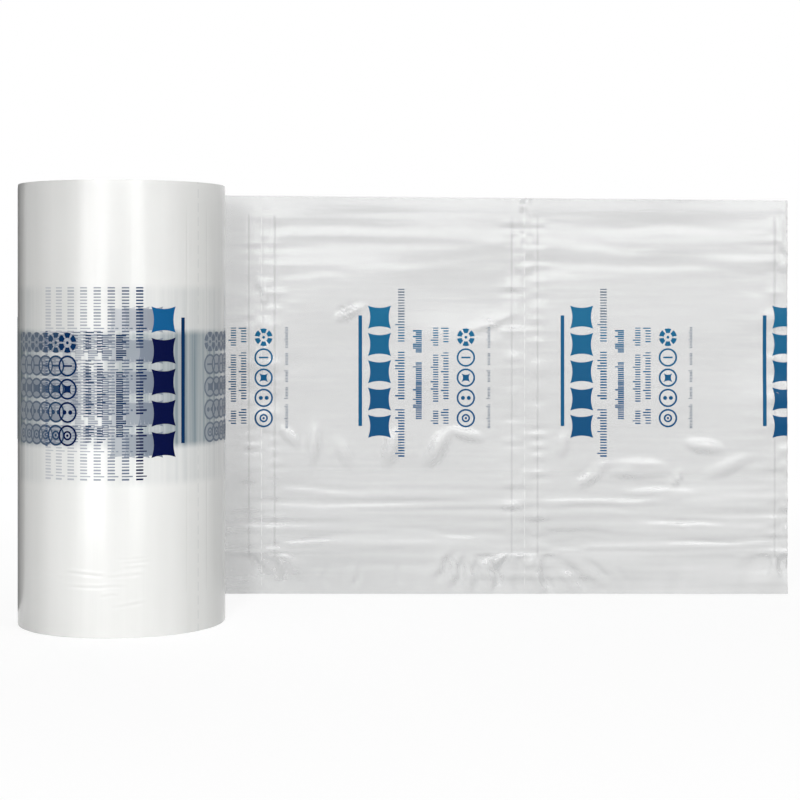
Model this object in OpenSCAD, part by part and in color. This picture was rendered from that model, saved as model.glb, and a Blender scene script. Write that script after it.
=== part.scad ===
// Roll of printed air pillow film on a cardboard core, standing on its end.
// The last turn has sprung loose behind the roll and runs out to the right as a flat tail, torn off at a tear line.
// Origin: axis of the core at the end that the roll stands on. +Z runs up the core, +X runs along the tail.

/* [Film] */
// Width of the film, which is the height of the roll as it stands
film_width = 400; // [340:5:500]
// Outer diameter of the wound turns
roll_diameter = 189; // [160:1:230]
// Thickness of the free film: two plies and the air between them
film_thickness = 0.8; // [0.6:0.1:1.2]

/* [Core] */
// Bore of the cardboard core, which takes a 3 inch spindle
core_bore = 76.2; // [70:0.1:90]
// Wall of the cardboard core
core_wall = 4; // [3:0.5:6]

/* [Wound turns] */
// Depth, along the radius, of one group of turns that wandered together
turn_group = 2.2; // [1.5:0.1:4]
// How far the most wandered group stands back from the end of the roll
turn_wander = 1.2; // [0.6:0.1:2]

/* [Free end] */
// Angle round the roll from its back to where the last turn leaves it
peel_angle = 75; // [60:1:80]
// Clear distance from the back of the roll to the middle of the tail
tail_standoff = 58; // [45:1:80]
// Distance of the torn end from the axis of the roll
tail_reach = 645; // [600:1:680]
// How much the upper edge of the tail drops towards the torn end
edge_drop = 5; // [1:0.5:7]

/* [Pillows] */
// Length of film from one tear line to the next
pillow_pitch = 264; // [240:1:270]
// Distance between the two welds beside a tear line
weld_spacing = 26; // [20:1:34]
// Width of one weld line
weld_width = 1.6; // [1.2:0.1:2.4]
// Depth of a weld line in each face of the film
weld_depth = 0.18; // [0.1:0.01:0.25]
// Height of the filling channel, which runs below the ends of the welds
channel_height = 36; // [28:1:44]
// Height of the plain edge above the welds
edge_height = 22; // [16:1:30]

/* [Tear lines] */
// Length of one slit of a tear line
slit_length = 8; // [6:0.5:9]
// Distance from one slit to the next
slit_pitch = 12.5; // [11:0.5:16]
// Width of one slit
slit_width = 1; // [0.6:0.1:1.4]

/* [Folds] */
// How far the creases of the tail stand out of its plane
fold_height = 1.6; // [0.8:0.1:2.5]
// Height of one crease
fold_pitch = 38; // [30:1:50]
// Width of one gather in the filling channel
gather_pitch = 44; // [36:1:60]

/* [Print] */
// Length of film from one printed group to the next
print_pitch = 203; // [190:1:230]
// Length of film from the torn end to the middle of the first ring column
print_start = 120; // [110:1:126]
// Height of the middle of the print above the lower edge of the film
print_middle = 222; // [210:1:234]
// Thickness of the ink fields
ink_thickness = 0.3; // [0.2:0.05:0.5]
// Width and height of one solid cushion shape
cushion_size = 23; // [18:0.5:24]
// Distance from one cushion shape to the next
cushion_pitch = 27.4; // [26:0.1:29]
// How far the sides of a cushion shape pull in
cushion_waist = 2.2; // [1:0.1:3]
// Outer diameter of one ring
ring_diameter = 18.5; // [14:0.5:19]
// Line width of a ring
ring_line = 1.6; // [1:0.1:2.5]
// Diameter of the dot in a ring
ring_dot = 6; // [4:0.5:9]
// Distance from one ring to the next
ring_pitch = 20.3; // [20:0.1:22]
// Width of one long broken bar
bar_width = 3.6; // [2:0.1:5]
// Width of the thin broken bar beside the rings
fine_bar_width = 1.6; // [1:0.1:2.4]
// Space between two dashes of a bar
dash_space = 6; // [3:0.5:9]

/* [Hidden] */

exact = 120;
roll_r = roll_diameter / 2;
core_r = core_bore / 2 + core_wall;
tail_y = roll_r + tail_standoff;

// The loose turn starts this deep in the roll, so that it leaves the surface at a clean angle
peel_depth = 1.5;
peel_r = roll_r - peel_depth;
// Radius and centre of the loose turn, which runs into the plane of the tail
loose_r = (tail_y - peel_r * cos(peel_angle)) / (1 - cos(peel_angle));
loose_x = (loose_r - peel_r) * sin(peel_angle);
loose_y = tail_y - loose_r;
// Angle of the loose turn that lies inside the roll
buried_angle = acos((pow(loose_r - peel_r, 2) + loose_r * loose_r - roll_r * roll_r)
                    / (2 * (loose_r - peel_r) * loose_r));
free_angle = peel_angle - buried_angle;
// Length of film from the torn end to the start of the loose turn, and to the surface of the roll
flat_s = tail_reach - loose_x;
peel_s = flat_s + loose_r * free_angle * PI / 180;
peel_x = loose_x - loose_r * sin(free_angle);
peel_y = loose_y + loose_r * cos(free_angle);
peel_azimuth = atan2(peel_y, peel_x);
outer_turn = PI * roll_diameter;

// The strip that carries a tear line, and the parts of it either side of the slits
strip_width = 2 * slit_width;
tear_count = floor(flat_s / pillow_pitch);
slit_count = floor((film_width - slit_length) / slit_pitch);
slit_base = (film_width - (slit_count - 1) * slit_pitch) / 2;

// The print leaves this band of the tail free of creases
band_low = print_middle - 92;
band_high = print_middle + 92;
row_step = 7.5;
column_step = 15;
low_rows = ceil(band_low / row_step);
high_rows = ceil((film_width - band_high) / row_step);
rows = concat([for (i = [0:low_rows]) band_low * i / low_rows],
              [for (i = [0:high_rows]) band_high + (film_width - band_high) * i / high_rows]);

// Share of the full crease at a distance from the nearest flat place
function swell(distance, reach) = let (t = min(1, max(0, distance / reach))) t * t * (3 - 2 * t);

// Depth of the film's surface from its plane, as creases along the film and gathers in the channel
function crease(x, z) = sin(360 * z / fold_pitch + 50 * sin(1.3 * x)) + 0.45 * sin(720 * z / fold_pitch + 0.9 * x);
function gather(x, z) = sin(360 * x / gather_pitch) * swell(channel_height - z, channel_height);
function relief(x, z, x_low, x_high) =
    let (from_ends = swell(min(x - x_low, x_high - x), 22),
         from_band = swell(max(band_low - z, z - band_high), 30))
    fold_height * from_ends * from_band * (0.6 * crease(x, z) * swell(z - channel_height / 2, channel_height)
                                           + gather(x, z));

// Height of the upper edge of the tail at x
function edge_at(x) = film_width - edge_drop * (x - loose_x) / (tail_reach - loose_x);

// Columns of a panel: [place along X, 1 at full thickness or 0 in a weld]
function weld_columns(x) = [for (d = [[-weld_width, 1], [-weld_width / 2, 0], [weld_width / 2, 0], [weld_width, 1]])
                            [x + d[0], d[1]]];
function plain_columns(x_low, x_high) =
    let (n = max(1, round((x_high - x_low) / column_step)))
    [for (i = [1:n - 1]) [x_low + (x_high - x_low) * i / n, 1]];
function panel_columns(x_low, x_high, welds) =
    let (stops = concat([x_low], welds, [x_high]))
    concat([[x_low, 1]],
           [for (i = [0:len(stops) - 2]) each concat(
               plain_columns(stops[i] + weld_width, stops[i + 1] - weld_width),
               i < len(welds) ? weld_columns(welds[i]) : [])],
           [[x_high, 1]]);

// A panel of creased film from x_low to x_high, with flat ends that meet a tear line or the loose turn.
// Its upper edge runs from edge_low to edge_high
module panel(x_low, x_high, edge_low, edge_high, welds) {
    columns = panel_columns(x_low, x_high, welds);
    m = len(columns);
    n = len(rows);
    function in_weld(z) = z >= channel_height && z <= film_width - edge_height;
    function half(column, z) = film_thickness / 2 - (column[1] == 0 && in_weld(z) ? weld_depth : 0);
    function edge(x) = edge_low + (edge_high - edge_low) * (x - x_low) / (x_high - x_low);
    function level(x, z) = z - (film_width - edge(x)) * max(0, (z - band_high) / (film_width - band_high));
    function face(side) = [for (c = columns) for (z = rows)
        [c[0], tail_y + relief(c[0], z, x_low, x_high) + side * half(c, z), level(c[0], z)]];
    function at(side, i, j) = (side > 0 ? m * n : 0) + i * n + j;
    front = [for (i = [0:m - 2]) for (j = [0:n - 2]) each [
        [at(-1, i, j), at(-1, i + 1, j + 1), at(-1, i + 1, j)],
        [at(-1, i, j), at(-1, i, j + 1), at(-1, i + 1, j + 1)]]];
    back = [for (i = [0:m - 2]) for (j = [0:n - 2]) each [
        [at(1, i, j), at(1, i + 1, j), at(1, i + 1, j + 1)],
        [at(1, i, j), at(1, i + 1, j + 1), at(1, i, j + 1)]]];
    rims = concat(
        [for (i = [0:m - 2]) [at(-1, i, 0), at(-1, i + 1, 0), at(1, i + 1, 0), at(1, i, 0)]],
        [for (i = [0:m - 2]) [at(-1, i, n - 1), at(1, i, n - 1), at(1, i + 1, n - 1), at(-1, i + 1, n - 1)]],
        [for (j = [0:n - 2]) [at(-1, 0, j), at(1, 0, j), at(1, 0, j + 1), at(-1, 0, j + 1)]],
        [for (j = [0:n - 2]) [at(-1, m - 1, j), at(-1, m - 1, j + 1), at(1, m - 1, j + 1), at(1, m - 1, j)]]);
    polyhedron(points = concat(face(-1), face(1)), faces = concat(front, back, rims), convexity = 10);
}

// The slits of one tear line, centred on x
module slits(x, depth) {
    for (i = [0:slit_count - 1])
        translate([x - slit_width / 2, -depth / 2, slit_base + i * slit_pitch - slit_length / 2])
            cube([slit_width, depth, slit_length]);
}

// One tear line of the tail. The last one is torn through the middle of its slits
module tear_strip(x, torn) {
    translate([0, tail_y, 0])
        difference() {
            translate([x - strip_width / 2, -film_thickness / 2, 0])
                cube([torn ? strip_width / 2 : strip_width, film_thickness, edge_at(x)]);
            slits(x, 3 * film_thickness);
        }
}

// The flat tail: pillows between tear lines, each with a weld near both ends
module tail() {
    tears = [for (i = [tear_count:-1:0]) tail_reach - i * pillow_pitch];
    for (i = [0:tear_count]) {
        x_low = i == 0 ? loose_x : tears[i - 1] + strip_width / 2;
        x_high = tears[i] - strip_width / 2;
        edge_low = i == 0 ? film_width : edge_at(tears[i - 1]);
        low_weld = i == 0 ? [] : [tears[i - 1] + weld_spacing / 2];
        panel(x_low, x_high, edge_low, edge_at(tears[i]), concat(low_weld, [tears[i] - weld_spacing / 2]));
        tear_strip(tears[i], i == tear_count);
    }
}

// The last turn, sprung out to a wider radius between the roll and the tail
module loose_turn() {
    translate([loose_x, loose_y, 0])
        rotate([0, 0, 90])
            rotate_extrude(angle = peel_angle, $fn = exact)
                translate([loose_r - film_thickness / 2, 0])
                    square([film_thickness, film_width]);
}

// The turns still wound on the core. Groups of turns have wandered along the axis, so both ends are ridged
module wound_turns() {
    groups = floor((roll_r - core_r) / turn_group);
    depth = (roll_r - core_r) / groups;
    function recess(i) = i % 4 == 0 || i == groups - 1 ? 0 : turn_wander * (0.35 + 0.65 * abs(sin(67 * i)));
    lower = [for (i = [0:groups - 1]) each [[core_r + i * depth, recess(i)], [core_r + (i + 1) * depth, recess(i)]]];
    upper = [for (i = [groups - 1:-1:0]) each [
        [core_r + (i + 1) * depth, film_width - recess(i + 2)], [core_r + i * depth, film_width - recess(i + 2)]]];
    rotate_extrude($fn = exact)
        polygon(concat(lower, upper));
}

// Places children, drawn round the axis at -Y, where the film at length s from the torn end lies on the roll
module on_roll(s) {
    rotate([0, 0, peel_azimuth + 90 + (s - peel_s) / roll_r * 180 / PI])
        children();
}

// The welds and tear lines that show on the outermost turn
module outer_turn_lines() {
    first = ceil(peel_s / pillow_pitch);
    last = floor((peel_s + outer_turn - weld_spacing) / pillow_pitch);
    for (i = [first:last]) {
        for (side = [-1, 1])
            on_roll(i * pillow_pitch + side * weld_spacing / 2)
                translate([-weld_width / 2, -roll_r - weld_width / 2, channel_height])
                    cube([weld_width, weld_width, film_width - edge_height - channel_height]);
        on_roll(i * pillow_pitch)
            translate([0, -roll_r, 0])
                slits(0, 2 * film_thickness);
    }
}

// The film: one web, wound, loose and flat
module film() {
    color([0.86, 0.87, 0.86])
        union() {
            difference() {
                wound_turns();
                outer_turn_lines();
            }
            loose_turn();
            tail();
        }
}

// The cardboard tube that the film is wound on
module core_tube() {
    color([0.68, 0.53, 0.36])
        rotate_extrude($fn = exact)
            translate([core_bore / 2, 0])
                square([core_wall, film_width]);
}

// A solid cushion: a square whose four sides pull in
module cushion() {
    half = cushion_size / 2;
    polygon([for (a = [0:90:270]) for (t = [-1:0.5:0.5])
        let (x = half - cushion_waist * (1 - t * t), y = t * half)
        [x * cos(a) - y * sin(a), x * sin(a) + y * cos(a)]]);
}

module ring() {
    difference() {
        circle(d = ring_diameter, $fn = exact);
        circle(d = ring_diameter - 2 * ring_line, $fn = exact);
    }
    circle(d = ring_dot, $fn = exact);
}

// The columns of one printed group: [place along the film from the rings, kind, length, number of marks, height]
COLUMNS = [
    [-22.5, "fine bar", 101, 4, -5],
    [0, "ring", 0, 5, -5],
    [21.2, "bar", 98, 3, -3],
    [31.5, "bar", 98, 2, -3],
    [48.7, "bar", 90, 2, -2],
    [66.3, "bar", 170, 3, 0],
    [86.7, "cushion", 0, 5, 1],
    [106, "fine bar", 111, 9, 2],
];

// Width, height and spacing of the marks of a column
function mark_width(column) =
    column[1] == "ring" ? ring_diameter :
    column[1] == "cushion" ? cushion_size :
    column[1] == "bar" ? bar_width : fine_bar_width;
function mark_height(column) =
    column[2] == 0 ? mark_width(column) : (column[2] - (column[3] - 1) * dash_space) / column[3];
function mark_pitch(column) =
    column[1] == "ring" ? ring_pitch :
    column[1] == "cushion" ? cushion_pitch : mark_height(column) + dash_space;
function mark_middles(column) =
    [for (i = [0:column[3] - 1]) print_middle + column[4] + (i - (column[3] - 1) / 2) * mark_pitch(column)];

// One mark of a column, drawn flat round the origin
module mark(column) {
    if (column[1] == "ring")
        ring();
    else if (column[1] == "cushion")
        cushion();
    else
        square([mark_width(column), mark_height(column)], center = true);
}

// A patch of ink on a round part of the film, of radius r, at -Y
module patch(r, width, middle, height) {
    sweep = width / r * 180 / PI;
    rotate([0, 0, -90 - sweep / 2])
        rotate_extrude(angle = sweep, $fn = exact)
            translate([r, middle - height / 2])
                square([ink_thickness, height]);
}

// A column on a round part of the film, of radius r, at -Y
module round_column(column, r) {
    width = mark_width(column);
    height = mark_height(column);
    for (z = mark_middles(column))
        if (column[2] > 0)
            patch(r, width, z, height);
        else
            intersection() {
                patch(r, width + 4, z, height + 4);
                translate([0, -r / 2, z])
                    rotate([90, 0, 0])
                        linear_extrude(r)
                            mark(column);
            }
}

// A column on both faces of the tail, cut off at the torn end
module flat_column(column, x) {
    for (z = mark_middles(column))
        for (side = [-1, 1])
            translate([0, tail_y + side * (film_thickness + ink_thickness) / 2 + ink_thickness / 2, 0])
                rotate([90, 0, 0])
                    linear_extrude(ink_thickness)
                        intersection() {
                            translate([x, z])
                                mark(column);
                            square([tail_reach - strip_width, film_width]);
                        }
}

// The ink: groups of plain shapes along the film, from the torn end to the end of the outermost turn
module print() {
    widest = cushion_size / 2;
    last = floor((peel_s + outer_turn - print_start - COLUMNS[7][0] - weld_spacing) / print_pitch);
    color([0.07, 0.2, 0.5])
        for (group = [-1:last])
            for (column = COLUMNS) {
                s = print_start + group * print_pitch + column[0];
                if (s > -widest && s <= flat_s)
                    flat_column(column, tail_reach - s);
                if (s > flat_s && s <= peel_s - widest)
                    translate([loose_x, loose_y, 0])
                        rotate([0, 0, 180 + (s - flat_s) / loose_r * 180 / PI])
                            round_column(column, loose_r + film_thickness / 2);
                if (s > peel_s + widest)
                    on_roll(s)
                        round_column(column, roll_r);
            }
}

film();
core_tube();
print();
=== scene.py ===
"""Roll of air pillow film on its end, with the tail run out to the right.

Lengths are in millimetres, apart from the stage, the lamps, the camera and the inside of the materials.
s is the distance along the film from its torn end, and z the height. Out is the film's outer side, which is
the back of the tail.
"""

import math

import bpy
import numpy as np
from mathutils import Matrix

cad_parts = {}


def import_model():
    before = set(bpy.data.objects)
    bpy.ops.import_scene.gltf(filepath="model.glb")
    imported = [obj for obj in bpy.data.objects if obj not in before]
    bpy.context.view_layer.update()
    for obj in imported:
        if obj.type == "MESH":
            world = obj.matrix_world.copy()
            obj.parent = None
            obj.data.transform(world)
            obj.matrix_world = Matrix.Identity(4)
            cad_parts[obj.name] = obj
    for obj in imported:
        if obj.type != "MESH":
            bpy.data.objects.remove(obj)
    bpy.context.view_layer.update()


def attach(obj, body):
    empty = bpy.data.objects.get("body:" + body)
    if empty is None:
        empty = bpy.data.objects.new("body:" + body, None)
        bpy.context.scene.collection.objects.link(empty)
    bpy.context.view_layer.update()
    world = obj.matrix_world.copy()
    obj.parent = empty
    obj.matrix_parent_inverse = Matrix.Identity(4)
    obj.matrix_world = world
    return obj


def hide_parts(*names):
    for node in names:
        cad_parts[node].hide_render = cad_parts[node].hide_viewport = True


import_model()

MM = 0.001

# The same sizes as the model's
FILM_WIDTH = 400.0
ROLL_R = 94.5
CORE_R = 42.1
THICKNESS = 0.8
TAIL_Y = ROLL_R + 58.0
TAIL_REACH = 645.0
EDGE_DROP = 5.0
PEEL_R = ROLL_R - 1.5
PEEL_ANGLE = math.radians(75)
PILLOW_PITCH = 264.0
WELD_SPACING = 26.0
CHANNEL = 36.0
EDGE_MARGIN = 20.0
SLIT_LENGTH = 8.0
SLIT_PITCH = 12.5

# The loose turn, from the roll to the plane of the tail
LOOSE_R = (TAIL_Y - PEEL_R * math.cos(PEEL_ANGLE)) / (1 - math.cos(PEEL_ANGLE))
TO_LOOSE = LOOSE_R - PEEL_R
LOOSE_X = TO_LOOSE * math.sin(PEEL_ANGLE)
LOOSE_Y = TAIL_Y - LOOSE_R
BURIED = math.acos((TO_LOOSE**2 + LOOSE_R**2 - ROLL_R**2) / (2 * TO_LOOSE * LOOSE_R))
FREE_ANGLE = PEEL_ANGLE - BURIED
FLAT_S = TAIL_REACH - LOOSE_X
PEEL_S = FLAT_S + LOOSE_R * FREE_ANGLE
END_S = FLAT_S + LOOSE_R * PEEL_ANGLE
PEEL_AZIMUTH = math.atan2(
    LOOSE_Y + LOOSE_R * math.cos(FREE_ANGLE), LOOSE_X - LOOSE_R * math.sin(FREE_ANGLE)
)
TURN = 2 * math.pi * ROLL_R

# The film is smoother between these heights, where the print is
BAND_LOW, BAND_HIGH = 130.0, 314.0

# Places of the tear lines and of the welds along the film, from its torn end
TEARS = [k * PILLOW_PITCH for k in range(3)]
HALF_PAIR = WELD_SPACING / 2
WELDS = [TEARS[0] + HALF_PAIR] + [t + side * HALF_PAIR for t in TEARS[1:] for side in (-1, 1)]


def unit(value, low, high):
    """0 up to low, 1 from high, and a smooth step between."""
    t = np.clip((np.asarray(value, float) - low) / (high - low), 0, 1)
    return t * t * (3 - 2 * t)


def lattice(i, j, seed):
    """A value from 0 to 1 for each pair of whole numbers, the same in every run."""
    v = np.sin(i * 127.1 + j * 311.7 + seed * 74.7) * 43758.5453
    return v - np.floor(v)


def noise(x, y, seed=0):
    """Smooth noise from -1 to 1, about one wave to a unit each way."""
    x, y = np.broadcast_arrays(np.asarray(x, float), np.asarray(y, float))
    i, j = np.floor(x), np.floor(y)
    u, v = x - i, y - j
    u, v = u * u * u * (u * (6 * u - 15) + 10), v * v * v * (v * (6 * v - 15) + 10)
    low = lattice(i, j, seed) * (1 - u) + lattice(i + 1, j, seed) * u
    high = lattice(i, j + 1, seed) * (1 - u) + lattice(i + 1, j + 1, seed) * u
    return 2 * (low * (1 - v) + high * v) - 1


def distance(values, places):
    """How far each value is from the nearest of some places."""
    return np.abs(values[..., None] - np.array(places)).min(-1)


def fold(s, z, s0, z0, s1, z1, height, width):
    """One long crease between two points, which dies away at both ends."""
    ds, dz = s1 - s0, z1 - z0
    length = math.hypot(ds, dz)
    along = ((s - s0) * ds + (z - z0) * dz) / length
    off = ((z - z0) * ds - (s - s0) * dz) / length
    off = off + width * 0.8 * noise(along / max(13, length / 3), s0, 40)
    taper = unit(along, -0.1 * length, 0.35 * length) * (1 - unit(along, 0.65 * length, 1.1 * length))
    return height * taper * (np.exp(-((off / width) ** 2)) - 0.5 * np.exp(-((off / width - 1.7) ** 2)))


# Creases that catch the light: from s and z, to s and z, height, half width
FOLDS = [
    (452, 281, 436, 292, 0.9, 2.4), (448, 277, 440, 283, 0.7, 1.6), (322, 268, 286, 276, 0.8, 2.2),
    (300, 279, 288, 268, 0.6, 1.6), (118, 112, 108, 120, 0.7, 1.8), (110, 73, 98, 69, 0.8, 1.8),
    (192, 122, 120, 128, 0.7, 4.5), (216, 116, 188, 128, 0.7, 4.0),
    (178, 96, 96, 101, 0.5, 2.6), (232, 88, 150, 84, 0.4, 2.4),
    (150, 74, 60, 71, 0.9, 2.2), (246, 62, 176, 60, 0.8, 2.0), (128, 54, 30, 52, 0.9, 2.0),
    (240, 44, 200, 49, 0.8, 2.0), (226, 32, 198, 4, 1.5, 5.0), (204, 36, 176, 14, 1.1, 4.4),
    (247, 28, 236, 2, 1.4, 4.2), (172, 26, 160, 6, 0.7, 3.4), (320, 40, 338, 4, 1.5, 4.0),
    (300, 40, 290, 2, 1.5, 4.4), (310, 38, 312, 2, 1.3, 3.6), (330, 42, 356, 14, 1.3, 4.4),
    (392, 30, 388, 8, 0.8, 3.0), (428, 30, 434, 6, 0.8, 3.0), (466, 28, 462, 6, 0.8, 3.0),
    (504, 30, 508, 8, 0.8, 3.0), (520, 366, 330, 369, 0.3, 5.0), (500, 352, 300, 350, 0.25, 4.5),
    (430, 335, 290, 338, 0.25, 4.5), (230, 372, 60, 368, 0.3, 5.0), (240, 348, 120, 352, 0.3, 5.0),
    (190, 330, 40, 327, 0.25, 4.5), (530, 318, 430, 322, 0.2, 4.0), (520, 108, 420, 104, 0.5, 3.0),
    (500, 86, 360, 90, 0.5, 2.8), (410, 64, 290, 60, 0.5, 2.2), (526, 54, 440, 57, 0.5, 2.2),
]
# What the heights in this table are multiplied by
FOLD_HEIGHT = 0.78

# Soft swellings towards the front: middle s and z, half length, half width, angle from the film's length
# in degrees, height
SWELLS = [
    (352, 146, 26, 11, 132, 1.7), (398, 147, 24, 11, 118, 1.5), (476, 150, 26, 9, 105, 1.2),
    (322, 160, 22, 8, 25, 1.2), (500, 158, 16, 8, 60, 0.9), (446, 142, 20, 9, 80, 0.9),
    (152, 126, 40, 12, 8, 1.4), (196, 120, 24, 9, 150, 1.0), (84, 148, 24, 9, 20, 1.3),
    (60, 128, 30, 10, 165, 1.0), (226, 150, 16, 9, 120, 0.8), (128, 100, 44, 8, 4, 0.9),
    (440, 282, 20, 6, 160, 1.0), (300, 272, 26, 6, 170, 1.1), (112, 116, 14, 6, 130, 0.9),
]
# What the heights in this table are multiplied by
SWELL_HEIGHT = 1.25


def swell(s, z, s0, z0, long, wide, angle, height):
    """One long soft swelling, a little bent."""
    c, d = math.cos(math.radians(angle)), math.sin(math.radians(angle))
    u, v = (s - s0) * c + (z - z0) * d, (z - z0) * c - (s - s0) * d
    v = v + 0.25 * wide * np.sin(u / long * 2)
    inside = np.maximum(0, 1 - (u / long) ** 2 - (v / wide) ** 2)
    return -SWELL_HEIGHT * height * inside**1.6


def creases(s, z):
    """How far the film stands out from the plane of the tail and the arc of the loose turn."""
    # long fine waves along the film, above and below the print
    off_band = np.maximum(1 - unit(z, BAND_LOW - 35, BAND_LOW), unit(z, BAND_HIGH, BAND_HIGH + 25))
    off_band = off_band * (1 - 0.7 * unit(z, FILM_WIDTH - EDGE_MARGIN, FILM_WIDTH))
    off_band = off_band * (1 - 0.4 * unit(z, 262, 300))
    out = off_band * (0.52 * noise(s / 210, z / 15, 1) + 0.26 * noise(s / 130, z / 6, 2))
    out = out + 0.42 * (1 - unit(z, 85, 125)) * unit(z, 26, 44) * noise(s / 190, z / 4.2, 9)
    # broad waves everywhere
    out = out + 0.9 * noise(s / 110, z / 60, 3) + 0.22 * noise(s / 60, z / 30, 4)
    for one in FOLDS:
        out = out + FOLD_HEIGHT * fold(s, z, *one)
    for one in SWELLS:
        out = out + swell(s, z, *one)
    for k, weld in enumerate(WELDS):
        # puckers across the weld
        near = s - weld
        on = unit(z, CHANNEL - 8, CHANNEL + 6) * (1 - unit(z, FILM_WIDTH - 30, FILM_WIDTH - 14))
        pucker = noise(near / 24, z / 5.5, 5 + k)
        out += 0.75 * np.exp(-np.abs(near) / 13) * on * pucker * (0.5 + 0.5 * np.abs(noise(k, z / 42, 15)))
        # gathers that fan out below the end of the weld
        drop = CHANNEL + 4 - z
        reach = np.hypot(near, drop)
        fan = noise(2.1 * np.arctan2(near, drop + 4), k + reach / 60, 20)
        out += 1.5 * (drop > 0) * fan * unit(reach, 2, 12) * (1 - unit(reach, 24, 46))
    for tear in TEARS:
        # short waves between the two welds
        between = np.exp(-(((s - tear) / 9) ** 2))
        out += 0.8 * between * noise(s / 7, z / 8, 30) * unit(noise(tear, z / 38, 33), -0.35, 0.5)
    # the slack of the inflation channel, along the lower edge
    out += (1 - unit(z, 10, CHANNEL)) * noise(s / 14, z / 50, 31) * (0.5 + 0.5 * noise(s / 70, 0.5, 32))
    # the film is drawn smoother towards the roll
    return out * (1 - unit(s, FLAT_S - 45, FLAT_S - 8) * 0.75) * (1 - unit(s, FLAT_S + 70, PEEL_S - 25))


RELIEF = creases(np.arange(0, END_S + 3)[:, None], np.arange(0, FILM_WIDTH + 3)[None, :])


def relief(s, z):
    """The same, read from a grid of 1 mm squares."""
    s, z = np.broadcast_arrays(np.asarray(s, float), np.asarray(z, float))
    s, z = np.clip(s, 0, END_S), np.clip(z, 0, FILM_WIDTH)
    i, j = np.floor(s).astype(int), np.floor(z).astype(int)
    u, v = s - i, z - j
    low = RELIEF[i, j] * (1 - u) + RELIEF[i + 1, j] * u
    high = RELIEF[i, j + 1] * (1 - u) + RELIEF[i + 1, j + 1] * u
    return low * (1 - v) + high * v


def level(s, z):
    """Height of a point of the tail: its upper edge drops towards the torn end."""
    drop = EDGE_DROP * np.clip(1 - s / FLAT_S, 0, 1)
    return z - drop * np.maximum(0, (z - BAND_HIGH) / (FILM_WIDTH - BAND_HIGH))


def on_tail(s, z, lift):
    """Points of the tail and the loose turn, lift out from the middle of the film."""
    s, z, lift = np.broadcast_arrays(*(np.asarray(v, float) for v in (s, z, lift)))
    out = lift + relief(s, z)
    turn = np.maximum(0, s - FLAT_S) / LOOSE_R
    r = LOOSE_R + out
    x = np.where(s <= FLAT_S, TAIL_REACH - s, LOOSE_X - r * np.sin(turn))
    y = np.where(s <= FLAT_S, TAIL_Y + out, LOOSE_Y + r * np.cos(turn))
    return np.stack([x, y, level(s, z)], -1)


def on_roll(s, z, lift):
    """Points of the outermost turn, lift out from its surface."""
    s, z, lift = np.broadcast_arrays(*(np.asarray(v, float) for v in (s, z, lift)))
    a = PEEL_AZIMUTH + (s - PEEL_S) / ROLL_R
    r = ROLL_R + lift
    return np.stack([r * np.cos(a), r * np.sin(a), z], -1)


def slab(top, bottom, cells=None, closed=False):
    """Points and quads of a closed sheet between two grids of points.

    cells says which squares are there. A closed sheet's last row joins its first.
    """
    n, m = top.shape[:2]
    index = np.arange(n * m).reshape(n, m)
    if closed:
        index = np.vstack([index, index[:1]])
    rows = index.shape[0] - 1
    cells = np.ones((rows, m - 1), bool) if cells is None else cells
    a, b, c, d = index[:-1, :-1], index[1:, :-1], index[1:, 1:], index[:-1, 1:]
    size = n * m
    quads = [
        np.stack([a[cells], b[cells], c[cells], d[cells]], -1),
        np.stack([a[cells], d[cells], c[cells], b[cells]], -1) + size,
    ]

    def wall(p, q, there):
        p, q = p[there], q[there]
        quads.append(np.stack([p, q, q + size, p + size], -1))

    side = np.pad(cells, ((0, 0), (1, 1)))
    low, high = index[:-1], index[1:]
    wall(high, low, side[:, 1:] & ~side[:, :-1])
    wall(low, high, side[:, :-1] & ~side[:, 1:])
    if closed:
        ahead = np.roll(cells, 1, axis=0)
        wall(index[:-1, :-1], index[:-1, 1:], cells & ~ahead)
        wall(index[:-1, 1:], index[:-1, :-1], ahead & ~cells)
    else:
        end = np.pad(cells, ((1, 1), (0, 0)))
        wall(index[:, :-1], index[:, 1:], end[1:] & ~end[:-1])
        wall(index[:, 1:], index[:, :-1], end[:-1] & ~end[1:])
    return np.concatenate([top.reshape(-1, 3), bottom.reshape(-1, 3)]), np.concatenate(quads)


def used_only(points, quads, *values):
    """Drops the points that no face uses."""
    used, back = np.unique(quads, return_inverse=True)
    return (points[used], back.reshape(quads.shape), *[v[used] for v in values])


def mesh_object(name, points, quads, materials, uv, tone, smooth=True, slots=None):
    """A piece from points in millimetres. uv is given for each point or each corner, tone for each point."""
    mesh = bpy.data.meshes.new(name)
    mesh.from_pydata((points * MM).tolist(), [], quads.tolist())
    mesh.validate()
    layer = mesh.uv_layers.new(name="film")
    corner = np.empty(len(mesh.loops), np.int32)
    mesh.loops.foreach_get("vertex_index", corner)
    uv = uv[corner] if len(uv) == len(points) else uv
    layer.data.foreach_set("uv", (uv * MM).astype(np.float32).ravel())
    for m in materials:
        mesh.materials.append(m)
    mesh.polygons.foreach_set("use_smooth", [smooth] * len(mesh.polygons))
    if slots is not None:
        mesh.polygons.foreach_set("material_index", slots.astype(np.int32))
    colour = mesh.attributes.new("tone", "FLOAT_COLOR", "POINT")
    rgba = np.concatenate([tone, np.ones((len(tone), 1))], 1)
    colour.data.foreach_set("color", rgba.astype(np.float32).ravel())
    mesh.update()
    mesh.set_sharp_from_angle(angle=math.radians(50))
    obj = bpy.data.objects.new(name, mesh)
    bpy.context.collection.objects.link(obj)
    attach(obj, "root")
    return obj


# Colours


def between(first, second, part):
    """part of the way from the first value or colour to the second."""
    return first * (1 - part) + second * part


# The roll's film, and the grey of the print deep under its turns
PALE = np.array([0.80, 0.81, 0.82])
HAZE = np.array([0.13, 0.20, 0.24])
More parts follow.
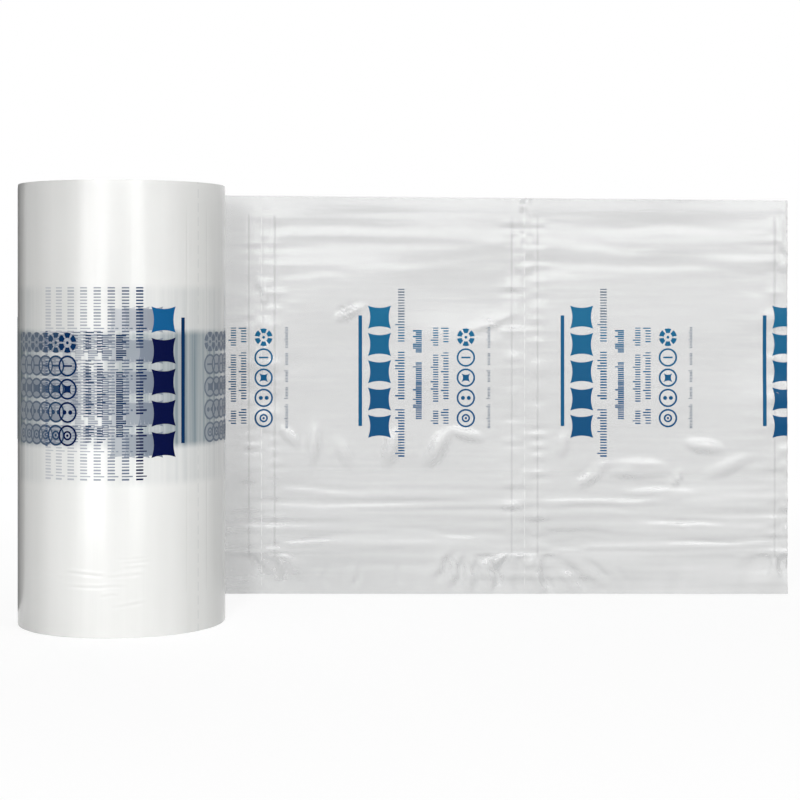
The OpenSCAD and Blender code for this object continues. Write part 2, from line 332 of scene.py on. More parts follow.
# Ink on the outermost turn, from its usual colour to a brighter one that is a painted highlight at the top of
# the cushions, and a little of it higher up on the other columns
NAVY = np.array([0.001, 0.004, 0.050])
PAINTED_HIGHLIGHT_INK = np.array([0.008, 0.12, 0.31])
# Ink under more turns, and that of the rings
VEILED = np.array([0.025, 0.060, 0.140])
DEEP = np.array([0.003, 0.040, 0.110])
# Ink on the tail, lighter higher up, and that of the smallest text
TAIL_INK = np.array([0.004, 0.095, 0.250])
TAIL_LIGHT = np.array([0.010, 0.175, 0.350])
TAIL_SMALL = np.array([0.20, 0.25, 0.32])


# Materials


class Nodes:
    """The node tree of a material or world, with short calls to fill it."""

    def __init__(self, owner, output="ShaderNodeOutputMaterial"):
        self.owner = owner
        owner.use_nodes = True
        self.tree = owner.node_tree
        self.tree.nodes.clear()
        self.out = self.add(output)

    def add(self, kind, inputs=(), **settings):
        node = self.tree.nodes.new(kind)
        for key, value in settings.items():
            setattr(node, key, value)
        for key, value in dict(inputs).items():
            self.put(node.inputs[key], value)
        return node

    def put(self, socket, value):
        if isinstance(value, bpy.types.NodeSocket):
            self.tree.links.new(value, socket)
        else:
            socket.default_value = value

    def math(self, operation, a, b=0.0, clamp=False):
        node = self.add("ShaderNodeMath", operation=operation, use_clamp=clamp)
        self.put(node.inputs[0], a)
        self.put(node.inputs[1], b)
        return node.outputs[0]

    def sum(self, *terms):
        """The sum of values with their weights."""
        parts = [self.math("MULTIPLY", *term) for term in terms]
        total = parts.pop()
        while parts:
            total = self.math("ADD", parts.pop(), total)
        return total

    def coords(self, kind="UV"):
        return self.add("ShaderNodeTexCoord").outputs[kind]

    def noise(self, scale, detail=2.0, rough=0.5, coords="UV"):
        """Noise with so many waves to a metre along each axis."""
        place = self.add("ShaderNodeMapping", {"Vector": self.coords(coords), "Scale": scale}).outputs[0]
        settings = {"Vector": place, "Scale": 1.0, "Detail": detail, "Roughness": rough}
        return self.add("ShaderNodeTexNoise", settings).outputs["Fac"]

    def tone(self):
        """The value or colour stored on the points."""
        return self.add("ShaderNodeAttribute", attribute_name="tone").outputs

    def radius(self):
        """Distance from the roll's axis."""
        flat = self.add("ShaderNodeVectorMath", {0: self.coords("Object"), 1: (1, 1, 0)}, operation="MULTIPLY")
        return self.add("ShaderNodeVectorMath", {0: flat.outputs[0]}, operation="LENGTH").outputs["Value"]

    def ranged(self, value, low, high, to_low, to_high, smooth=False):
        return self.add(
            "ShaderNodeMapRange",
            {"Value": value, "From Min": low, "From Max": high, "To Min": to_low, "To Max": to_high},
            interpolation_type="SMOOTHSTEP" if smooth else "LINEAR",
        ).outputs[0]

    def bump(self, height, distance, strength=1.0, normal=None):
        node = self.add("ShaderNodeBump", {"Height": height, "Distance": distance, "Strength": strength})
        if normal is not None:
            self.put(node.inputs["Normal"], normal)
        return node.outputs[0]

    def mix(self, fac, a, b):
        node = self.add("ShaderNodeMix", data_type="RGBA")
        self.put(node.inputs[0], fac)
        self.put(node.inputs[6], a)
        self.put(node.inputs[7], b)
        return node.outputs[2]

    def solid(self, colour, rough, normal, ior=1.5):
        """The finished material of a plain surface."""
        settings = {"Base Color": colour, "Roughness": rough, "IOR": ior, "Normal": normal}
        return self.finish(self.add("ShaderNodeBsdfPrincipled", settings))

    def mixed(self, fac, first, second):
        """The first shader where fac is 0, and the second where it is 1."""
        return self.add("ShaderNodeMixShader", {0: fac, 1: first.outputs[0], 2: second.outputs[0]})

    def seen(self):
        """1 where the background itself is seen, directly, in a reflection or through the film."""
        ray = self.add("ShaderNodeLightPath").outputs
        most = self.math("MAXIMUM", ray["Is Camera Ray"], ray["Is Glossy Ray"])
        return self.math("MAXIMUM", most, ray["Is Transmission Ray"])

    def finish(self, shader):
        self.put(self.out.inputs["Surface"], shader.outputs[0])
        return self.owner


def material(name):
    return Nodes(bpy.data.materials.new(name))


def free_film(name, clear, thin, thick, colour):
    """Clear film. clear is how much light it lets through, and thin and thick how much of it is seen itself."""
    n = material(name)
    # build_tail stores how creased the film is, with painted shade near the roll,
    # and a painted shade from which way its creases face
    stored = n.add("ShaderNodeSeparateColor", {0: n.tone()["Color"]})
    crease_and_shade, slope_shade = stored.outputs[0], stored.outputs[1]
    cloud = n.noise((9, 24, 1), 3)
    streak = n.noise((7, 150, 1), 3, 0.6)
    fine = n.noise((35, 420, 1), 2, 0.6)
    dense = n.sum((crease_and_shade, 0.5), (cloud, 0.35), (streak, 0.2))
    normal = n.bump(fine, 0.00003, 0.3, n.bump(streak, 0.0004, 0.4))
    body = n.add(
        "ShaderNodeBsdfPrincipled",
        {
            "Base Color": (*colour, 1),
            "Roughness": 0.35,
            "IOR": 1.5,
            "Specular IOR Level": 0.7,
            "Coat Weight": 1.0,
            "Coat Roughness": 0.16,
            "Coat IOR": 1.8,
            "Normal": normal,
            "Coat Normal": normal,
        },
    )
    # painted shade as if lit from above: film facing up lets more light through, and film facing down less
    grey = n.ranged(slope_shade, 0, 1, clear - 0.06, min(1, clear + 0.04))
    through = n.add("ShaderNodeCombineColor", {0: grey, 1: grey, 2: grey}).outputs[0]
    see = n.add("ShaderNodeBsdfTransparent", {"Color": through})
    return n.finish(n.mixed(n.ranged(dense, 0.15, 0.75, thin, thick), see, body))


def wound_film():
    """The roll: many clear turns over each other, which look white, with printing deep under the surface."""
    n = material("wound_film")
    streaks = n.noise((26, 1.2, 1), 3, 0.55)
    drift = n.sum((streaks, 0.6), (n.noise((9, 9, 1), 3), 0.4))
    white = n.mix(n.ranged(drift, 0.3, 0.7, 0, 1), (0.78, 0.785, 0.765, 1), (0.88, 0.88, 0.865, 1))
    place = n.add("ShaderNodeSeparateXYZ", {0: n.coords()})
    s, z = place.outputs[0], place.outputs[1]

    def band(low, high, soft):
        up = n.ranged(z, low - soft, low + soft, 0, 1, True)
        return n.math("MULTIPLY", up, n.ranged(z, high - soft, high + soft, 1, 0, True))

    stripe = n.noise((210, 1.6, 1), 3, 0.6)
    strong = n.math("MULTIPLY", band(0.1665, 0.267, 0.004), n.ranged(stripe, 0.3, 0.7, 0.34, 0.72))
    weak = n.math("MULTIPLY", band(0.134, 0.306, 0.005), n.ranged(stripe, 0.3, 0.7, 0.05, 0.20))
    haze = n.math("ADD", strong, weak, clamp=True)
    # build_roll stores how much print is buried
    colour = n.mix(n.math("MULTIPLY", haze, n.tone()["Fac"]), white, (*HAZE, 1))
    # the slits of the tear lines in the outermost turn
    past = n.math("PINGPONG", s, PILLOW_PITCH / 2 * MM)
    on_line = n.math("LESS_THAN", past, 0.0006)
    dash = n.math("FRACT", n.math("DIVIDE", n.math("ADD", z, 0.0015), SLIT_PITCH * MM))
    slit = n.math("MULTIPLY", on_line, n.math("LESS_THAN", dash, SLIT_LENGTH / SLIT_PITCH))
    colour = n.mix(n.math("MULTIPLY", slit, 0.2), colour, (0.42, 0.45, 0.46, 1))
    normal = n.bump(n.noise((150, 4, 1), 3, 0.6), 0.0003, 0.4, n.bump(streaks, 0.0014, 0.35))
    return n.solid(colour, 0.2, normal)


def film_ends():
    """The ends of the wound turns: fine rings, some cleaner than others."""
    n = material("film_ends")
    turn = n.add("ShaderNodeCombineXYZ", {0: n.math("MULTIPLY", n.radius(), 1900)}).outputs[0]
    settings = {"Vector": turn, "Scale": 1.0, "Detail": 3.0, "Roughness": 0.65}
    fine = n.add("ShaderNodeTexNoise", settings).outputs["Fac"]
    tone = n.sum((fine, 0.7), (n.noise((30, 30, 30), 3, 0.5, "Object"), 0.3))
    colour = n.mix(n.ranged(tone, 0.35, 0.68, 0, 1), (0.44, 0.46, 0.47, 1), (0.90, 0.91, 0.905, 1))
    normal = n.bump(fine, 0.0005, 0.7)
    return n.solid(colour, 0.42, normal)


def ink(name, rough, gloss):
    """Ink in the colour that is stored on its points, a little thinner in places."""
    n = material(name)
    grain = n.noise((1500, 1500, 1), 2)
    faded = n.mix(n.ranged(grain, 0.5, 0.8, 0, 0.02), n.tone()["Color"], (0.55, 0.6, 0.66, 1))
    settings = {"Base Color": faded, "Roughness": rough, "IOR": 1.5, "Specular IOR Level": gloss}
    body = n.add("ShaderNodeBsdfPrincipled", settings)
    return n.finish(body)


def cardboard():
    """Brown board wound in a spiral, with its plies at the ends."""
    n = material("core_board")
    place = n.add("ShaderNodeSeparateXYZ", {0: n.coords("Object")})
    angle = n.math("ARCTAN2", place.outputs[1], place.outputs[0])
    spiral = n.math("FRACT", n.sum((angle, 1 / (2 * math.pi)), (place.outputs[2], 11.5)))
    seam = n.ranged(n.math("ABSOLUTE", n.math("SUBTRACT", spiral, 0.5)), 0.0, 0.012, 1, 0, True)
    ply = n.math("SINE", n.math("MULTIPLY", n.radius(), 2 * math.pi / 0.0008))
    fibre = n.noise((260, 260, 900), 4, 0.65, "Object")
    tone = n.sum((fibre, 0.6), (n.noise((22, 22, 22), 3, 0.5, "Object"), 0.4))
    kraft = n.mix(n.ranged(tone, 0.3, 0.7, 0, 1), (0.40, 0.27, 0.155, 1), (0.58, 0.43, 0.27, 1))
    dark = n.mix(n.math("MULTIPLY", seam, 0.55), kraft, (0.24, 0.15, 0.08, 1))
    normal = n.bump(n.sum((fibre, 0.5), (ply, 0.25)), 0.0004, 0.5, n.bump(seam, -0.0006, 0.8))
    return n.solid(dark, 0.85, normal, 1.45)


film_clear = free_film("free_film", 0.95, 0.24, 0.46, (0.60, 0.61, 0.61))
film_weld = free_film("weld_line", 0.93, 0.28, 0.48, (0.54, 0.55, 0.55))
film_wound = wound_film()
film_end = film_ends()
ink_roll = ink("ink_on_roll", 0.3, 0.02)
ink_under = ink("ink_under_turns", 0.3, 0.08)
ink_tail = ink("ink_on_tail", 0.35, 0.12)

# The core keeps its solid
core = bpy.data.objects["core_tube"]
for slot in core.material_slots:
    slot.material = cardboard()


# The roll


def azimuth(s):
    """The angle in degrees on the roll at s along the film."""
    return np.degrees(PEEL_AZIMUTH + (s - PEEL_S) / ROLL_R)


def roll_relief(a, z):
    """Creases in the outermost turn, most of them low on its front. a is the azimuth in degrees."""
    out = np.zeros(np.broadcast(a, z).shape)
    for a0, a1, z0, slope, depth, width in ROLL_CREASES:
        middle, half = (a0 + a1) / 2, (a1 - a0) / 2
        line = z0 + slope * (a - middle) / half * 3 + 0.8 * noise(a / 7, z0, 11)
        along = 1 - unit(np.abs(a - middle), half * 0.45, half)
        off = (z - line) / width
        # under the print the film only dips, and stays below the ink
        rise = 0.8 if z0 < BAND_LOW else 0
        out -= depth * along * (np.exp(-off * off) - rise * np.exp(-((off - 1.8) ** 2)))
    return out


# From and to azimuth, height, rise over the crease, depth, half width
ROLL_CREASES = [
    (246, 271, 55.5, -0.35, 0.36, 1.1),
    (269, 291, 54.0, 0.3, 0.38, 1.2),
    (245, 283, 45.0, 0.1, 0.36, 1.0),
    (274, 294, 69.0, 0.0, 0.24, 1.0),
    (276, 296, 65.0, 0.2, 0.26, 1.0),
    (277, 293, 61.5, 0.1, 0.20, 0.9),
    (272, 292, 29.0, 0.9, 0.32, 1.2),
    (266, 277, 37.0, 0.2, 0.24, 1.0),
    (232, 247, 52.0, -0.4, 0.14, 1.4),
    (214, 232, 47.0, 0.5, 0.14, 1.4),
    (262, 280, 302.0, -0.5, 0.22, 2.2),
    (264, 282, 293.0, 0.6, 0.24, 2.4),
    (261, 279, 284.0, -0.3, 0.22, 2.2),
    (266, 281, 276.0, 0.4, 0.20, 2.0),
]

# The columns and rows of the roll's side, with finer rows where it is creased, and the rings of its ends
SIDE_COLUMNS = 320
SIDE_ROWS = np.concatenate(
    [
        np.arange(0.0, 80, 1.25),
        np.arange(80, 270, 10.0),
        np.arange(270, 316, 2.0),
        np.arange(320, 380, 10.0),
        np.arange(380, 400.1, 4),
    ]
)
RING_STEP = 1.05


def build_roll():
    """One closed skin: the side, the two ridged ends and the hole for the core."""
    welds = [k * PILLOW_PITCH + side * HALF_PAIR for k in range(2, 5) for side in (-1, 1)]
    welds = [s for s in welds if PEEL_S + 3 < s < PEEL_S + TURN - 3]
    s = PEEL_S + np.arange(SIDE_COLUMNS) * TURN / SIDE_COLUMNS
    s = s[distance(s, welds) > 1.0]
    s = np.sort(np.concatenate([s, *[np.array(welds) + d for d in (-1.0, -0.45, 0.45, 1.0)]]))
    rings = np.arange(1, int((ROLL_R - CORE_R) / RING_STEP)) * RING_STEP
    end_r = ROLL_R - rings
    group = np.floor(rings / 2.1)

    def recess(seed):
        """How far in each ring of an end lies, by its group and by itself. One group in four is near flush."""
        wander = 0.55 * lattice(group, seed, 1) + 0.25 * lattice(np.arange(len(rings)), seed, 2)
        return np.where(group % 4 == 0, 0.1 * lattice(group, seed, 3), wander)

    # the profile runs up the side, in over the upper end, down the hole and out over the lower end
    edge, weld_depth = 0.35, 0.16
    n_side = len(SIDE_ROWS)
    side_r = np.full(n_side, ROLL_R)
    side_r[[0, -1]] -= edge
    profile_r = np.concatenate([side_r, end_r, [CORE_R, CORE_R], end_r[::-1]])
    profile_z = np.concatenate([SIDE_ROWS, FILM_WIDTH - recess(1), [FILM_WIDTH, 0.0], recess(2)[::-1]])
    A, R = np.meshgrid(azimuth(s), profile_r, indexing="ij")
    _, Z = np.meshgrid(s, profile_z, indexing="ij")
    side = slice(1, n_side - 1)
    R[:, side] += roll_relief(A[:, side], Z[:, side])
    pressed = (distance(s, welds) < 0.6)[:, None]
    on_side = R > ROLL_R - 0.3
    R -= weld_depth * (pressed & on_side & (Z > CHANNEL) & (Z < FILM_WIDTH - EDGE_MARGIN))
    wave = np.abs(0.10 * noise(A / 40, 0 * A, 8))
    upper = slice(n_side, n_side + len(end_r))
    Z[:, upper] -= wave[:, upper]
    lower = slice(n_side + len(end_r) + 2, None)
    Z[:, lower] += wave[:, lower]
    t = np.radians(A)
    points = np.stack([R * np.cos(t), R * np.sin(t), Z], -1)
    n, m = A.shape
    index = np.arange(n * m).reshape(n, m)
    nxt = np.roll(index, -1, axis=0)
    quads = np.stack([index, nxt, np.roll(nxt, -1, axis=1), np.roll(index, -1, axis=1)], -1)
    slots = np.zeros((n, m), int)
    slots[:, n_side - 1 :] = 1
    # s on the outermost turn, so that the texture runs on from the tail's
    s0 = np.broadcast_to(s[:, None], Z.shape)
    s1 = np.broadcast_to(np.append(s[1:], s[0] + TURN)[:, None], Z.shape)
    z1 = np.roll(Z, -1, axis=1)
    uv = np.stack([np.stack(c, -1) for c in ((s0, Z), (s1, Z), (s1, z1), (s0, z1))], 2)
    tone = np.repeat(haze_at(A).reshape(-1, 1), 3, axis=1)
    return mesh_object(
        "film_roll",
        points.reshape(-1, 3),
        quads.reshape(-1, 4),
        [film_wound, film_end],
        uv.reshape(-1, 2),
        tone,
        slots=slots.ravel(),
    )


# Print


PRINT_PITCH = 203.0
PRINT_START = 120.0
PRINT_MIDDLE = 222.0
CUSHION, CUSHION_PITCH, WAIST = 23.0, 27.4, 2.2
RING_D, RING_PITCH, RING_LINE = 18.5, 20.3, 1.7
RING_HEIGHTS = [PRINT_MIDDLE - 5 + (i - 2) * RING_PITCH for i in range(5)]
BLOCK_AT, RULE_AT, RULE_HALF = 86.7, 106.0, 1.8
# How far the print of the turn below is moved along the film
GHOST_STEP = 12.3
# How far ink stands out of the tail's film, and how far it is let into any film
INK, SUNK = 0.12, 0.05
# Repeats of the print that reach the tail, the outermost turn, and the haze below it
TAIL_GROUPS, ROLL_GROUPS, HAZE_GROUPS = range(-1, 4), range(3, 9), range(2, 8)


# Each shape is a grid of s, a grid of z, and whether its last row joins its first


def rect(s0, s1, z0, z1, step=4.0):
    n, m = (max(1, math.ceil(d / step)) for d in (s1 - s0, z1 - z0))
    s, z = np.meshgrid(np.linspace(s0, s1, n + 1), np.linspace(z0, z1, m + 1), indexing="ij")
    return s, z, False


def square(n):
    return np.meshgrid(np.linspace(-1, 1, n + 1), np.linspace(-1, 1, n + 1), indexing="ij")


def cushion(s0, z0, size, waist, n=6):
    """A square with its sides drawn in."""
    u, v = square(n)
    half = size / 2
    return s0 + u * (half - waist * (1 - v * v)), z0 + v * (half - waist * (1 - u * u)), False


def disc(s0, z0, r, n=6):
    u, v = square(n)
    return s0 + r * u * np.sqrt(1 - v * v / 2), z0 + r * v * np.sqrt(1 - u * u / 2), False


def ring(s0, z0, r0, r1, n=32, a0=0.0, a1=360.0):
    """A ring, or the part of one from angle a0 to a1."""
    whole = a1 - a0 >= 360
    t = np.radians(np.linspace(a0, a1, n + (not whole), endpoint=not whole))
    t, r = np.meshgrid(t, np.array([r1, r0]), indexing="ij")
    return s0 + r * np.cos(t), z0 + r * np.sin(t), whole


def text_row(s0, low, high, width, words, seed, stroke, pitch):
    """A row of strokes in groups, in place of a line of text. It runs down the film.

    words holds how many letters each word has, and each letter is one or more strokes, pitch apart.
    """
    space = 1.6
    total = sum(words) + space * (len(words) - 1)
    step = (high - low) / total
    count = max(1, round(step / pitch))
    shapes, at = [], high
    for w, word in enumerate(words):
        for k in range(word * count):
            z = at - (k + 0.5) * step / count
            tall = lattice(k, w, seed) > 0.78
            top = width / 2 if tall else width * 0.18
            wide = stroke * (0.8 + 0.5 * lattice(k, w, seed + 9))
            shapes.append(rect(s0 - width / 2, s0 + top, z - wide / 2, z + wide / 2, 5.0))
        at -= (word + space) * step
    return shapes


def icons(s0):
    """Four rings, each with a plain mark inside, and a ring of six segments above them."""
    r = RING_D / 2
    target, dots, middle, bar, wheel = RING_HEIGHTS
    marks = {
        target: [ring(s0, target, 2.6, 4.2, 20), disc(s0, target, 1.2, 4)],
        dots: [disc(s0 + d, dots, 2.0, 4) for d in (-2.9, 2.9)],
        middle: [cushion(s0, middle, 8.5, 1.4, 4)],
        bar: [rect(s0 - 4.6, s0 + 4.6, bar - 0.8, bar + 0.8)],
    }
    shapes = []
    for z, mark in marks.items():
        shapes += [ring(s0, z, r - RING_LINE, r), *mark]
    shapes += [ring(s0, wheel, r - 5.0, r - 0.4, 5, 60 * k + 8, 60 * k + 52) for k in range(6)]
    return [*shapes, disc(s0, wheel, 1.4, 4)]


# Rows in place of text: kind, place from the rings, lowest and highest point from the middle, width, letters
# in each word, seed, stroke, pitch
TEXT_ROWS = [
    ("small", -22.5, -56, 46, 4.0, [7, 4, 4, 4, 8], 1, 0.6, 1.6),
    ("line", 21.2, -52, 46, 7.6, [3, 9, 3], 2, 1.0, 2.3),
    ("line", 31.5, -52, 46, 7.6, [4, 10, 3], 3, 1.0, 2.3),
    ("line", 48.7, -47, 43, 8.8, [4, 10], 4, 1.2, 2.3),
    ("wide", 66.3, -85, 85, 9.4, [10, 9, 9], 5, 1.2, 2.6),
]


def columns_of(ring_s):
    """The columns of one printed group, in order along the film: kind, middle, shapes."""
    m = PRINT_MIDDLE
    small, *lines = [
        (kind, ring_s + off, text_row(ring_s + off, m + low, m + high, *rest))
        for kind, off, low, high, *rest in TEXT_ROWS
    ]
    block, rule = ring_s + BLOCK_AT, ring_s + RULE_AT
    cushions = [cushion(block, m + 1 + (i - 2) * CUSHION_PITCH, CUSHION, WAIST) for i in range(5)]
    bar = rect(rule - RULE_HALF, rule + RULE_HALF, m + 2 - 55.5, m + 2 + 55.5)
    return [small, ("icons", ring_s, icons(ring_s)), *lines, ("block", block, cushions), ("rule", rule, [bar])]


class Sheets:
    """Gathers thin closed shapes of ink into one mesh."""

    def __init__(self):
        self.points, self.quads, self.uv, self.tone, self.count = [], [], [], [], 0

    def add(self, shape, place, low, high, tone):
        """One shape on the surface that place gives, from low to high off it."""
        s, z, closed = shape
        points, quads = slab(place(s, z, high), place(s, z, low), closed=closed)
        self.quads.append(quads + self.count)
        self.points.append(points)
        flat = np.stack([s, z], -1).reshape(-1, 2)
        self.uv.append(np.concatenate([flat, flat]))
        self.tone.append(np.tile(np.asarray(tone, float), (len(points), 1)))
        self.count += len(points)

    def build(self, name, surface):
        obj = mesh_object(
            name,
            np.concatenate(self.points),
            np.concatenate(self.quads),
            [surface],
            np.concatenate(self.uv),
            np.concatenate(self.tone),
            smooth=False,
        )
        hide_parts("print")


# For each column that is seen again through the turns: how many times with the top one, how strongly the
# first copy shows, and how much of that is left from each copy to the next
THROUGH = {"icons": (6, 0.97, 0.90), "line": (5, 0.76, 0.76), "wide": (8, 0.84, 0.84), "block": (4, 0.58, 0.62)}
# How dark the patch behind the rings is on each copy, from the top turn down
PATCH = (0.40, 0.62, 0.60, 0.48, 0.36, 0.27)
# Between these heights the print below greys the film: much beside the rings, and a little beyond
MUCH_HAZE, LITTLE_HAZE = (167, 266), (132, 304)
# How far ink stands off the roll: the top turn's, the copies' and the patches', which sink with each copy
TOP_LIFT, COPY_LIFT, PATCH_LIFT = 0.22, 0.17, 0.05
COPY_SINKS, PATCH_SINKS = 0.014, 0.004
# Columns this near to where the film peels off are left out, and on the tail those this far past its torn end
PEEL_GAP, TORN_GAP = 13.0, 12.0


def haze_at(a):
    """How much deeply buried print greys the roll at azimuth a: it trails off away from each ring column."""
    out = np.zeros(a.shape)
    for group in HAZE_GROUPS:
        start = azimuth(PRINT_START + group * PRINT_PITCH)
        behind = (start - a) % 360
        out = np.maximum(out, (0.25 + 0.75 * unit(behind, 12, 40)) * (1 - 0.64 * unit(behind, 66, 100)))
    return out


def white_at(s, z):
    """Colour of the roll's film at a point, with the print far below it."""
    share = 0.5 if MUCH_HAZE[0] < z < MUCH_HAZE[1] else 0.12 if LITTLE_HAZE[0] < z < LITTLE_HAZE[1] else 0
    return between(PALE, HAZE, haze_at(azimuth(s)) * share)


def top_tone(kind, z):
    """Ink on the outermost turn of the roll."""
    if kind == "small":
        return VEILED * 1.3
    if kind == "line":
        return VEILED * 0.8
    high = float(z.max())
    # painted highlight: the top cushion takes the brighter ink, and the other columns a little of it higher up
    return between(NAVY, PAINTED_HIGHLIGHT_INK, unit(high, 268, 292) if kind == "block" else 0.25 * unit(high, 150, 300))


def build_roll_print():
    """The print of the outermost turn, and its copies on the turns below, each a little lower than the last."""
    top, under = Sheets(), Sheets()
    first, last = PEEL_S + PEEL_GAP, PEEL_S + TURN - PEEL_GAP
    for group in ROLL_GROUPS:
        for kind, middle, shapes in columns_of(PRINT_START + group * PRINT_PITCH):
            turns, shows, kept = THROUGH.get(kind, (1, 0, 0))
            for k in range(turns):
                s0 = middle - k * GHOST_STEP
                if not first < s0 < last:
                    continue
                if kind == "icons":
                    # the marks of many turns run together into one dark patch
                    for z0 in RING_HEIGHTS:
                        tone = between(white_at(s0, z0), DEEP, PATCH[k])
                        patch = disc(s0, z0, RING_D / 2 - 0.2, 8)
                        under.add(patch, on_roll, -SUNK, PATCH_LIFT - PATCH_SINKS * k, tone)
                for s, z, closed in shapes:
                    if k == 0:
                        top.add((s, z, closed), on_roll, -SUNK, TOP_LIFT, top_tone(kind, z))
                        continue
                    ink_tone = DEEP if kind == "icons" else VEILED
                    tone = between(white_at(s0, z.mean()), ink_tone, shows * kept ** (k - 1))
                    moved = (s - k * GHOST_STEP, z, closed)
                    under.add(moved, on_roll, -SUNK, COPY_LIFT - COPY_SINKS * k, tone)
    top.build("print_on_roll", ink_roll)
    under.build("print_under_turns", ink_under)


def tail_tone(kind, z):
    """Ink on the tail at height z."""
    if kind == "small":
        return TAIL_SMALL
    tone = between(TAIL_INK, TAIL_LIGHT, unit(z, 180, 290))
    return between(tone, TAIL_SMALL, unit(z, 255, 285)) if kind == "wide" else tone


def build_tail_print():
    """On the tail the ink is seen from both sides, so it is on both faces of the film."""
    sheets = Sheets()
    torn, least = 0.6, 0.5
    half = THICKNESS / 2
    for group in TAIL_GROUPS:
        for kind, middle, shapes in columns_of(PRINT_START + group * PRINT_PITCH):
            if not -TORN_GAP <= middle <= PEEL_S - PEEL_GAP:
                continue
            for s, z, closed in shapes:
                # what crosses the torn end is cut off there
                if s.min() < torn:
                    s = np.maximum(s, torn)
                    if s.max() - s.min() < least:
                        continue
                for low, high in ((half - SUNK, half + INK), (-half - INK, -half + SUNK)):
                    sheets.add((s, z, closed), on_tail, low, high, tail_tone(kind, z.mean()))
    sheets.build("print_on_tail", ink_tail)


# The tail


def spaced(stops):
    """Values between stops. Each stop is a place and the step after it, and the last ends the row."""
    out = []
    for (a, step), (b, _) in zip(stops, stops[1:]):
        n = max(1, round((b - a) / step))
        out += list(a + (b - a) * np.arange(n) / n)
    return np.array(out + [stops[-1][0]])


# Half the width of a weld and of a slit
HALF_WELD, HALF_SLIT = 1.1, 0.06


def tail_columns():
    """Places along the film, closer together about the welds, and on the edges of welds and slits."""
    near, apart, beside = 2.0, 3.6, 22
    lines = [(-HALF_PAIR, HALF_WELD, 0.9), (0, HALF_SLIT, 0.7), (HALF_PAIR, HALF_WELD, 0.9)]
    stops = [(0.0, 1.0)]
    for tear in TEARS:
        for off, half, fine in lines:
            mid, last = tear + off, stops[-1][0]
            if mid - half > last:
                if mid - beside > last + 8:
                    stops.append((mid - beside, near))
                stops += [(mid - half, fine), (mid + half, near)]
            elif mid + half > last:
                stops.append((mid + half, near))
        stops.append((tear + HALF_PAIR + beside, apart))
    return spaced([*stops, (FLAT_S, 7.0), (END_S, 5.0)])


def build_tail():
    """The loose turn and the tail, as one closed sheet with slits along the tear lines."""
    s = tail_columns()
    z = spaced([(0, 1.8), (44, 2.2), (176, 3.4), (262, 2.4), (FILM_WIDTH, 1)])
    # rows that bound the slits of the tear lines
    count = int((FILM_WIDTH - SLIT_LENGTH) // SLIT_PITCH)
    base = (FILM_WIDTH - (count - 1) * SLIT_PITCH) / 2
    ends = np.concatenate([base + np.arange(count) * SLIT_PITCH + side * SLIT_LENGTH / 2 for side in (-1, 1)])
    for end in ends:
        z[np.argmin(np.abs(z - end))] = end
    z = np.unique(z)
    S, Z = np.meshgrid(s, z, indexing="ij")
    # the torn end is uneven
    S[0] += 0.9 * lattice(np.arange(len(z)), 0, 61)
    MS, MZ = np.meshgrid((s[:-1] + s[1:]) / 2, (z[:-1] + z[1:]) / 2, indexing="ij")
    first = base - SLIT_LENGTH / 2
    in_slit = ((MZ - first) % SLIT_PITCH < SLIT_LENGTH) & (MZ > first) & (MZ < FILM_WIDTH - first)
    cells = ~(in_slit & (distance(MS, TEARS) < HALF_SLIT))
    weld_top = FILM_WIDTH - EDGE_MARGIN
    weld = (distance(MS, WELDS) < HALF_WELD) & (MZ > CHANNEL) & (MZ < weld_top)
    # a weld is pressed thinner than the film beside it, and so is a tear line
    at_weld = unit(HALF_WELD - distance(S, WELDS), -0.2, 0.6) * ((Z >= CHANNEL) & (Z <= weld_top))
    at_tear = 1 - unit(distance(S, TEARS), 0.2, 2.2)
    half = THICKNESS / 2 - 0.22 * at_weld - 0.26 * at_tear
    points, quads = slab(on_tail(S, Z, half), on_tail(S, Z, -half), cells)
    along, up = np.gradient(relief(S, Z), s, z)
    # creased film looks denser. The lower film near the roll is made denser, and so darker, as painted shade;
    # the upper edge is denser too, and the lower film near the torn end is made thinner and lighter
    crease_and_shade = unit(np.hypot(along, up), 0.05, 0.4) + unit(S, 340, FLAT_S) * (1 - unit(Z, 50, 210)) * 0.42
    crease_and_shade = crease_and_shade + 0.22 * unit(Z, 372, 390) - 0.25 * (1 - unit(S, 60, 260)) * (1 - unit(Z, 60, 200))
    # painted shade as if lit from above: lighter where the film faces up, darker where it faces down
    slope_shade = 0.5 + 0.5 * np.tanh((up + 0.4 * along) / 0.13)
    tone = np.stack([crease_and_shade, slope_shade, 0 * crease_and_shade], -1).reshape(-1, 3)
    flat = np.stack([S, Z], -1).reshape(-1, 2)
    # the squares of both faces come first, and then the narrow ones around their edges
    slots = np.zeros(len(quads), int)
    slots[: 2 * int(cells.sum())] = np.tile(weld[cells], 2)
    uv, tone = np.concatenate([flat, flat]), np.concatenate([tone, tone])
    points, quads, uv, tone = used_only(points, quads, uv, tone)
    return mesh_object("film_tail", points, quads, [film_clear, film_weld], uv, tone, slots=slots)


roll = build_roll()
tail = build_tail()
for piece in (roll, tail):
    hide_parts("film")
build_roll_print()
build_tail_print()


# Floor, light and camera


def stage_object(name, points, faces, surface):
    mesh = bpy.data.meshes.new(name)
    mesh.from_pydata(points, [], faces)
    mesh.materials.append(surface)
    obj = bpy.data.objects.new(name, mesh)
    bpy.context.collection.objects.link(obj)
    return obj


